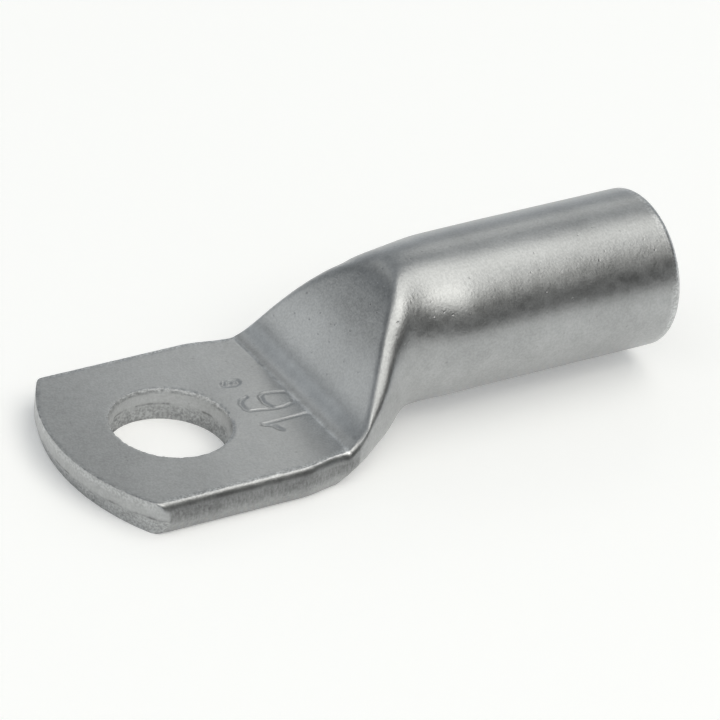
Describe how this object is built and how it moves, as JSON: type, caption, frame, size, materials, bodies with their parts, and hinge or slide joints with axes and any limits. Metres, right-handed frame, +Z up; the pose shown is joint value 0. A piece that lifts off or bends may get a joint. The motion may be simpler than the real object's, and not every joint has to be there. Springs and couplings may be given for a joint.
{
  "type": "tubular ring terminal",
  "caption": "Steel tube pressed flat at one end into a palm with a bolt hole, open and round at the other to be crimped on a stranded wire.",
  "frame": {"origin": "on the bolt hole's axis, in the plane of the palm's underside", "axes": "+X along the tube towards the open mouth, +Z up along the bolt hole's axis, from the palm's underside to its top"},
  "size_m": [0.0357, 0.0134, 0.0092],
  "materials": {
    "steel": "satin"
  },
  "bodies": {
    "root": {"ring_terminal": "steel"}
  },
  "joints": []
}
